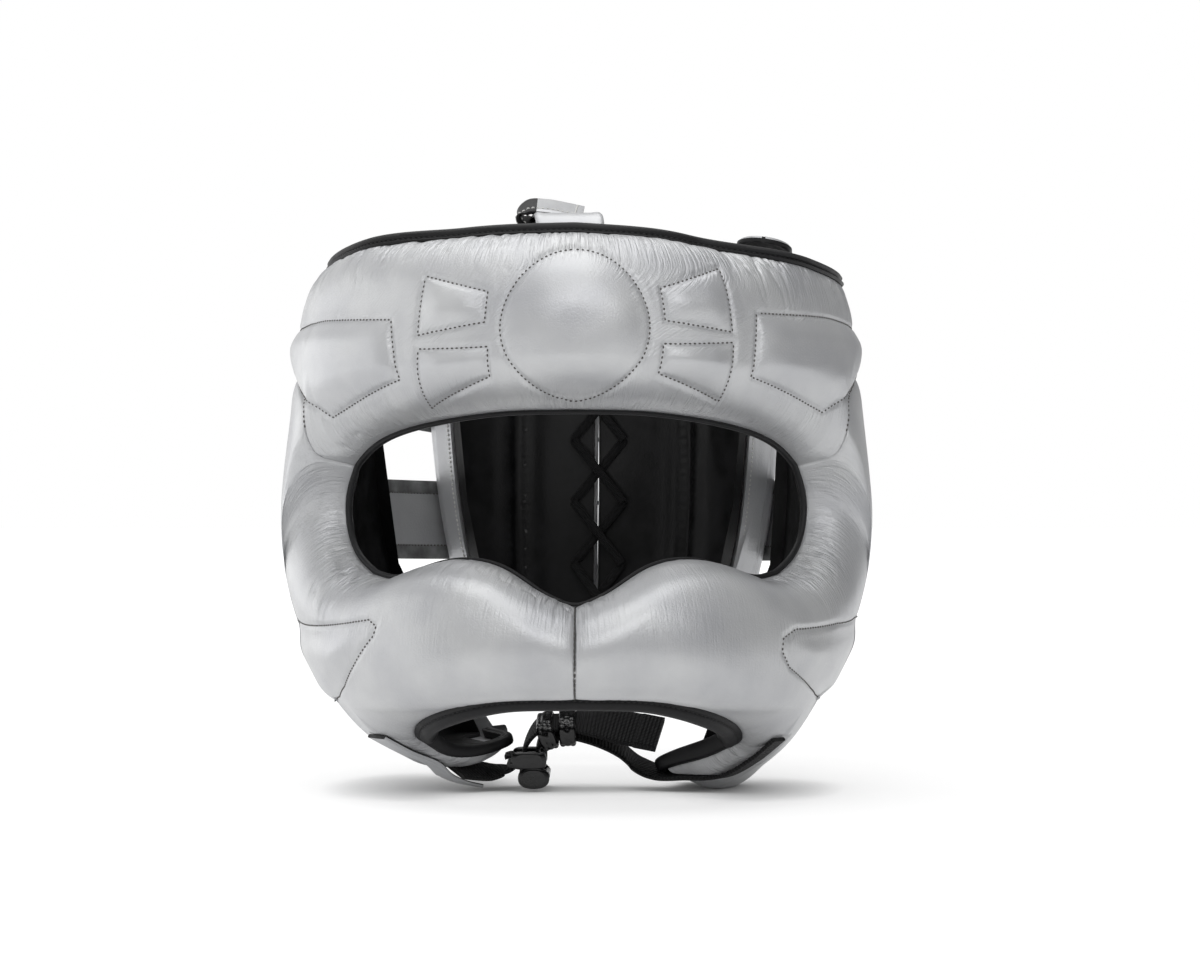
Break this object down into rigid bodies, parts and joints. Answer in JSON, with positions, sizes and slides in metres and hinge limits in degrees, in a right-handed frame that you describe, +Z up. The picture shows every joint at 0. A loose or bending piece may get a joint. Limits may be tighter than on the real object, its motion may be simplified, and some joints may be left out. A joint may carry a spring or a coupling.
{
  "type": "boxing headgear with face bar",
  "caption": "Padded leather boxing headgear with a face bar, eye opening, black lining and bindings, a laced back, crown straps and a buckled webbing chin strap.",
  "frame": {"origin": "middle of the bounding box on the floor that the jaw flaps rest on", "axes": "+Z up, the face looks along -Y, +X is the viewer's right when facing it"},
  "size_m": [0.2402, 0.2545, 0.24],
  "materials": {
    "leather_silver": "pearl grain, semi-gloss",
    "leather_black": "matte",
    "lining_black": "matte smooth",
    "webbing_black": "ribbed weave",
    "plastic_black": "gloss"
  },
  "bodies": {
    "root": {"forehead_pad": "leather_silver", "face_guard_left": "leather_silver", "face_guard_right": "leather_silver", "back_panel_left": "leather_silver", "back_panel_right": "leather_silver", "side_strap_left": "leather_silver", "side_strap_right": "leather_silver", "upper_strap_left": "leather_silver", "upper_strap_right": "leather_silver", "crown_strap": "leather_silver", "hook_strap": "leather_silver", "strap_patch": "leather_silver", "top_binding": "leather_black", "eye_binding": "leather_black", "chin_binding": "leather_black", "ear_binding_left": "leather_black", "ear_binding_right": "leather_black", "forehead_lining": "lining_black", "face_lining_left": "lining_black", "face_lining_right": "lining_black", "back_lining_left": "lining_black", "back_lining_right": "lining_black", "chin_webbing": "webbing_black", "buckle_strap": "webbing_black", "back_lace": "webbing_black", "buckle": "plastic_black", "strap_keeper_left": "plastic_black", "strap_keeper_right": "plastic_black"}
  },
  "joints": []
}
